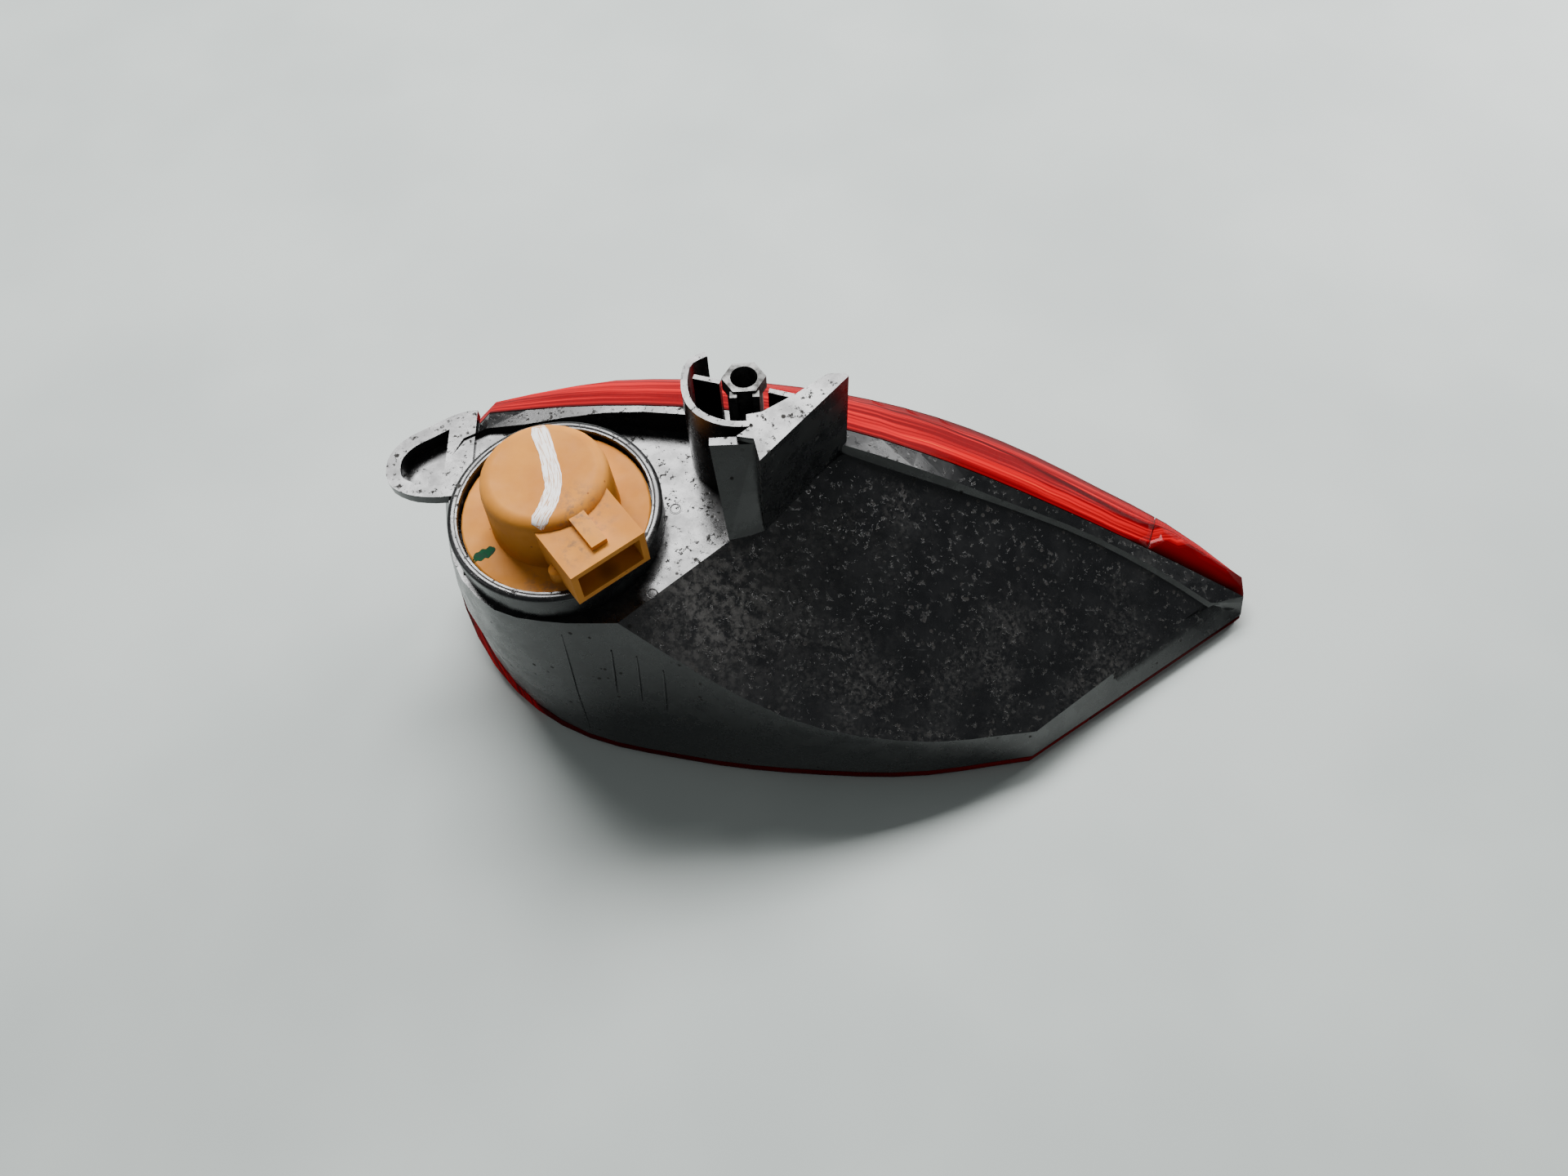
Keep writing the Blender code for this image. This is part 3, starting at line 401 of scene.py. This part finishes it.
def softened(piece, width_mm, angle=34.0, segments=2):
    """Round the piece's sharp edges."""
    bevel = piece.modifiers.new("edges", "BEVEL")
    bevel.width = width_mm * MM
    bevel.segments = segments
    bevel.limit_method = "ANGLE"
    bevel.angle_limit = math.radians(angle)
    bevel.harden_normals = False
    bevel.miter_outer = "MITER_ARC"
    normals = piece.modifiers.new("normals", "WEIGHTED_NORMAL")
    normals.keep_sharp = True
    return piece


def tree_of(*nodes):
    """The named CAD nodes as one surface that rays can be cast at."""
    points, faces = [], []
    for node in nodes:
        mesh = NODES[node].data
        start = len(points)
        points += [v.co.copy() for v in mesh.vertices]
        faces += [[start + i for i in p.vertices] for p in mesh.polygons]
    return BVHTree.FromPolygons(points, faces)


def dropped(tree, point, lift_mm):
    """The surface point straight below a world point, lifted a little along Z."""
    hit = tree.ray_cast(Vector((point.x, point.y, RAY_TOP_M)), Vector((0.0, 0.0, -1.0)))[0]
    return hit + Vector((0.0, 0.0, lift_mm * MM))


def draped_patch(name, tree, rows, lift_mm, material, body, pattern_length=None):
    """A thin closed sheet over rows of world points, dropped on a surface from above."""
    mesh_data = bmesh.new()
    layers = []
    for lift in (lift_mm, lift_mm - PAINT_THICKNESS):
        layers.append([[mesh_data.verts.new(dropped(tree, p, lift)) for p in row] for row in rows])
    top, under = layers
    count, width = len(rows), len(rows[0])
    for i in range(count - 1):
        for j in range(width - 1):
            mesh_data.faces.new((top[i][j], top[i + 1][j], top[i + 1][j + 1], top[i][j + 1]))
            mesh_data.faces.new((under[i][j], under[i][j + 1], under[i + 1][j + 1], under[i + 1][j]))
    border = [(i, 0) for i in range(count)] + [(count - 1, j) for j in range(1, width)]
    border += [(i, width - 1) for i in range(count - 2, -1, -1)] + [(0, j) for j in range(width - 2, 0, -1)]
    for (i, j), (k, m) in zip(border, border[1:] + border[:1]):
        mesh_data.faces.new((top[i][j], under[i][j], under[k][m], top[k][m]))
    piece = finish_piece(name, mesh_data, material, body, 60.0)
    if pattern_length:
        along = piece.data.attributes.new("stroke_along", "FLOAT", "POINT")
        across = piece.data.attributes.new("stroke_across", "FLOAT", "POINT")
        for layer in range(2):
            for i in range(count):
                for j in range(width):
                    index = layer * count * width + i * width + j
                    along.data[index].value = i / (count - 1) * pattern_length
                    across.data[index].value = j / (width - 1)
    return piece


def ring(name, profile, centre, material, body, segments=96):
    """A closed turned ring about the vertical through centre; profile is (radius, z) in mm."""
    mesh_data = bmesh.new()
    rows = []
    for radius, z in profile:
        angles = [2 * math.pi * i / segments for i in range(segments)]
        around = [Vector((radius * math.cos(a), radius * math.sin(a), z)) for a in angles]
        rows.append([mesh_data.verts.new(centre + offset * MM) for offset in around])
    for first, second in zip(rows, rows[1:] + rows[:1]):
        for i in range(segments):
            j = (i + 1) % segments
            mesh_data.faces.new((first[i], first[j], second[j], second[i]))
    return finish_piece(name, mesh_data, material, body, 60.0)


# ------------------------------------------------------------------ pieces

def make_housing(black):
    """The black moulding with softened edges, and the bead along its collar."""
    piece = finish_piece("housing_shell", node_copy("rear_housing"), black, "housing", 30.0)
    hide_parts("rear_housing")
    softened(piece, 0.3)
    middle = COLLAR_LEVEL - LIP_DROP
    lip = [(LIP_RADIUS + LIP_HALF_WIDTH * math.cos(a), middle + LIP_HALF_HEIGHT * math.sin(a))
           for a in [2 * math.pi * i / LIP_POINTS for i in range(LIP_POINTS)]]
    ring("collar_lip", lip, AXIS, black, "housing")


def make_holder(orange):
    """The orange moulding with softened edges."""
    piece = finish_piece("holder_moulding", node_copy("bulb_holder"), orange, "holder", 32.0)
    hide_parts("bulb_holder")
    softened(piece, 0.4)


def lens_section(slices):
    """At even steps along X, the outer rim point (highest) and shoulder point (farthest in Y) of the lens."""
    tree = tree_of("lens_main", "lens_reflex")
    low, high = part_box("lens_main")[0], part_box("lens_reflex")[1]
    near, far = low.y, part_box("lens_main")[1].y
    found = []
    for i in range(slices):
        x = low.x + (high.x - low.x) * (i + 0.5) / slices
        hits = []
        for j in range(LENS_LOOKS):
            y = near + (far - near) * j / (LENS_LOOKS - 1)
            hit = tree.ray_cast(Vector((x, y, RAY_TOP_M)), Vector((0.0, 0.0, -1.0)))[0]
            if hit is not None:
                hits.append(hit)
        found.append((max(hits, key=lambda p: p.z), max(hits, key=lambda p: p.y)))
    return low.x, high.x, [rim for rim, _ in found], [shoulder for _, shoulder in found]


def make_lens(node, material, section):
    """The lens part, cut finely enough to carry its moulded lines."""
    low, high, rims, shoulders = section
    mesh_data = bmesh.new()
    mesh_data.from_mesh(NODES[node].data)
    bmesh.ops.remove_doubles(mesh_data, verts=mesh_data.verts, dist=1e-6)
    bmesh.ops.subdivide_edges(mesh_data, edges=mesh_data.edges, cuts=1, use_grid_fill=True)
    values = []
    count = len(rims)
    for v in mesh_data.verts:
        place_along = (v.co.x - low) / (high - low) * count - 0.5
        i = int(max(0, min(count - 2, math.floor(place_along))))
        share = max(0.0, min(1.0, place_along - i))
        rim = rims[i].lerp(rims[i + 1], share)
        shoulder = shoulders[i].lerp(shoulders[i + 1], share)
        span = Vector((shoulder.y - rim.y, shoulder.z - rim.z))
        offset = Vector((v.co.y - rim.y, v.co.z - rim.z))
        values.append((offset.dot(span) / max(span.length_squared, 1e-12), (v.co.x - low) / (high - low)))
    piece = finish_piece(node + "_skin", mesh_data, material, "housing", 35.0)
    across = piece.data.attributes.new("lens_across", "FLOAT", "POINT")
    along = piece.data.attributes.new("lens_along", "FLOAT", "POINT")
    for i, (a, b) in enumerate(values):
        across.data[i].value = max(0.0, min(1.0, a))
        along.data[i].value = b
    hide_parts(node)


def make_marks(orange, white, green):
    """Paint marks and moulded details on the bulb holder."""
    top = tree_of("bulb_holder")
    stops = [Vector(stop) for stop in STROKE_STOPS]
    line = []
    for k in range(STROKE_STEPS + 1):
        t = k / STROKE_STEPS * (len(stops) - 1)
        i = min(int(t), len(stops) - 2)
        line.append(stops[i].lerp(stops[i + 1], t - i))
    for _ in range(STROKE_SMOOTHINGS):
        line = [line[0]] + [(a + 2 * b + c) / 4 for a, b, c in zip(line, line[1:], line[2:])] + [line[-1]]
    rows = []
    for k, p in enumerate(line):
        ahead = (line[min(k + 1, STROKE_STEPS)] - line[max(k - 1, 0)]).normalized()
        side = Vector((-ahead.y, ahead.x))
        half = STROKE_HALF_WIDTH + 0.10 * math.sin(k * 0.5) + 0.05 * math.sin(k * 1.9 + 1.0)
        half *= min(1.0, 0.60 + k * 0.14, 0.60 + (STROKE_STEPS - k) * 0.14)
        rows.append([place(*(p + side * half * (j / 4 - 1))) for j in range(9)])
    draped_patch("paint_stroke", top, rows, STROKE_LIFT, white, "holder", pattern_length=6.0)
    rows = []
    for k in range(15):
        u = k / 14 * 2 - 1
        half = DAB_HALF_WIDTH * math.sqrt(max(0.02, 1 - u ** 4)) * (1 + 0.16 * math.sin(k * 1.4))
        x, y = DAB_CENTRE[0] + u * DAB_HALF_LENGTH, DAB_CENTRE[1] + u * DAB_SLOPE
        rows.append([place(x, y + half * (j / 3 - 1)) for j in range(7)])
    draped_patch("paint_dab", top, rows, DAB_LIFT, green, "holder")
    for name, side in (("holder_ear_near", -1), ("holder_ear_far", 1)):
        centre = on_holder(EAR_ALONG, side * EAR_ASIDE)
        ring(name, EAR_PROFILE, centre, orange, "holder", 28)


def near_wall_point(tree, x, z):
    """Point and outward direction on the near wall of the housing at an x and height in millimetres."""
    start = Vector((place(x, 0.0).x, RAY_NEAR_M, z * MM))
    hit, normal = tree.ray_cast(start, Vector((0.0, 1.0, 0.0)))[:2]
    return hit, normal


def raised_rib(name, tree, ends, half_mm, height_mm, black):
    """A thin rounded rib lying on the near wall between two (x, z) points."""
    mesh_data = bmesh.new()
    rows = []
    count = 17
    for k in range(count):
        t = k / (count - 1)
        x = ends[0][0] * (1 - t) + ends[1][0] * t
        z = ends[0][1] * (1 - t) + ends[1][1] * t
        foot, normal = near_wall_point(tree, x, z)
        ahead = Vector((ends[1][0] - ends[0][0], 0.0, ends[1][1] - ends[0][1]))
        side = normal.cross(ahead).normalized()
        taper = max(0.15, math.sin(math.pi * t)) ** 0.35
        row = []
        for j in range(8):
            a = 2 * math.pi * j / 8
            offset = side * math.cos(a) * half_mm * taper + normal * math.sin(a) * height_mm * taper
            row.append(mesh_data.verts.new(foot + offset * MM))
        rows.append(row)
    for first, second in zip(rows, rows[1:]):
        for j in range(8):
            mesh_data.faces.new((first[j], first[(j + 1) % 8], second[(j + 1) % 8], second[j]))
    mesh_data.faces.new(rows[0])
    mesh_data.faces.new(rows[-1])
    finish_piece(name, mesh_data, black, "housing", 60.0)


def make_housing_details(black):
    """Ribs and seam of the near wall, and the small round marks of the mould on the back."""
    tree = tree_of("rear_housing")
    for name, ends, half_mm, height_mm in WALL_RIBS:
        raised_rib(name, tree, ends, half_mm, height_mm, black)
    for k, (x, y, radius) in enumerate(MOULD_MARKS):
        mesh_data = bmesh.new()
        rows = []
        for inset, lift in MOULD_SECTION:
            r = radius - inset
            row = []
            for i in range(MOULD_SEGMENTS):
                a = 2 * math.pi * i / MOULD_SEGMENTS
                spot = place(x + r * math.cos(a), y + r * math.sin(a))
                row.append(mesh_data.verts.new(dropped(tree, spot, lift)))
            rows.append(row)
        for first, second in zip(rows, rows[1:] + rows[:1]):
            for i in range(MOULD_SEGMENTS):
                j = (i + 1) % MOULD_SEGMENTS
                mesh_data.faces.new((first[i], first[j], second[j], second[i]))
        finish_piece("mould_mark_%d" % (k + 1), mesh_data, black, "housing", 60.0)


def make_spring(finishes):
    """The spring behind the contact plate, copied from its CAD node with a mesh of its own, riding on the holder.
    """
    entry = next(e for e in frame["record"]["subparts"] if e["node"] == "contact_spring")
    slot = entry["material_slot"]
    piece = finish_piece("spring_coil", node_copy("contact_spring"), finishes[slot], "holder")
    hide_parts("contact_spring")
    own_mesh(piece)


def dress_inner_nodes(finishes):
    """Give each CAD node that is shown as it is the finish of its slot."""
    for entry in frame["record"]["subparts"]:
        node = NODES[entry["node"]]
        if entry["material_slot"] in finishes:
            node.data.materials.clear()
            node.data.materials.append(finishes[entry["material_slot"]])


# ------------------------------------------------------------------ stage

def make_stage():
    """Pale floor, faint surrounding light and four soft lamps."""
    mesh_data = bmesh.new()
    bmesh.ops.create_grid(mesh_data, x_segments=2, y_segments=2, size=FLOOR_HALF_M)
    mesh = bpy.data.meshes.new("floor")
    mesh_data.to_mesh(mesh)
    mesh_data.free()
    floor = bpy.data.objects.new("floor", mesh)
    bpy.context.scene.collection.objects.link(floor)
    s = Shader("floor_pale")
    tone = s.ramp(s.noise(90.0, 3.0, 0.5), 0.3, 0.7)
    mesh.materials.append(s.paint(s.colour(tone, (0.40, 0.44, 0.425), (0.46, 0.50, 0.48)), 0.55))

    world = bpy.data.worlds.new("studio")
    bpy.context.scene.world = world
    world.use_nodes = True
    world.node_tree.nodes["Background"].inputs["Color"].default_value = (0.80, 0.86, 0.88, 1.0)
    world.node_tree.nodes["Background"].inputs["Strength"].default_value = WORLD_STRENGTH

    for name, spot, width, height, power in LAMPS:
        light = bpy.data.lights.new(name, "AREA")
        light.shape = "RECTANGLE"
        light.size = width
        light.size_y = height
        light.energy = power
        item = bpy.data.objects.new(name, light)
        bpy.context.scene.collection.objects.link(item)
        item.location = spot
        item.rotation_euler = (Vector(LIGHTS_AIM_M) - Vector(spot)).to_track_quat("-Z", "Y").to_euler()


def make_camera():
    """Camera above the near side, looking down at the back of the lamp."""
    pitch, roll = math.radians(CAMERA_PITCH), math.radians(CAMERA_ROLL)
    ahead = Vector((0.0, math.cos(pitch), -math.sin(pitch)))
    level_up = Vector((0.0, math.sin(pitch), math.cos(pitch)))
    across = Vector((1.0, 0.0, 0.0))
    right = across * math.cos(roll) + level_up * math.sin(roll)
    up = -across * math.sin(roll) + level_up * math.cos(roll)
    data = bpy.data.cameras.new("camera")
    data.sensor_width = CAMERA_SENSOR
    data.lens = CAMERA_LENS
    camera = bpy.data.objects.new("camera", data)
    bpy.context.scene.collection.objects.link(camera)
    turn = Matrix((right, up, -ahead)).transposed().to_4x4()
    camera.matrix_world = Matrix.Translation(place(*CAMERA_PLACE)) @ turn
    bpy.context.scene.camera = camera


# ------------------------------------------------------------------ main

black = black_plastic()
orange = orange_plastic()
lamp_red = red_lens("lamp_red", (0.13, 0.0008, 0.003), (0.50, 0.003, 0.008))
reflex_red = red_lens("reflex_red", (0.15, 0.0008, 0.003), (0.42, 0.003, 0.007))
make_housing(black)
make_housing_details(black)
make_holder(orange)
section = lens_section(LENS_SLICES)
make_lens("lens_main", lamp_red, section)
make_lens("lens_reflex", reflex_red, section)
make_marks(orange, brushed_paint(), green_paint())
finishes = {
    "housing_black": black,
    "metallised": metal("metallised", (0.86, 0.86, 0.87), (0.72, 0.72, 0.74), 0.06, 6.0),
    "rubber": dull("rubber", (0.012, 0.012, 0.012), (0.03, 0.03, 0.03), 0.7),
    "zinc_steel": metal("zinc_steel", (0.13, 0.13, 0.127), (0.045, 0.044, 0.042), 0.48),
    "tinned_brass": metal("tinned_brass", (0.72, 0.67, 0.52), (0.45, 0.38, 0.24), 0.25),
    "insulator_black": dull("insulator_black", (0.02, 0.02, 0.024), (0.045, 0.045, 0.05), 0.25),
    "nickel": metal("nickel", (0.72, 0.68, 0.62), (0.50, 0.46, 0.40), 0.2),
    "solder": metal("solder", (0.58, 0.58, 0.59), (0.38, 0.38, 0.39), 0.45),
    "clear_glass": clear_glass(),
    "tungsten": metal("tungsten", (0.28, 0.28, 0.29), (0.16, 0.16, 0.17), 0.4),
}
dress_inner_nodes(finishes)
make_spring(finishes)
make_stage()
make_camera()
bpy.context.view_layer.update()
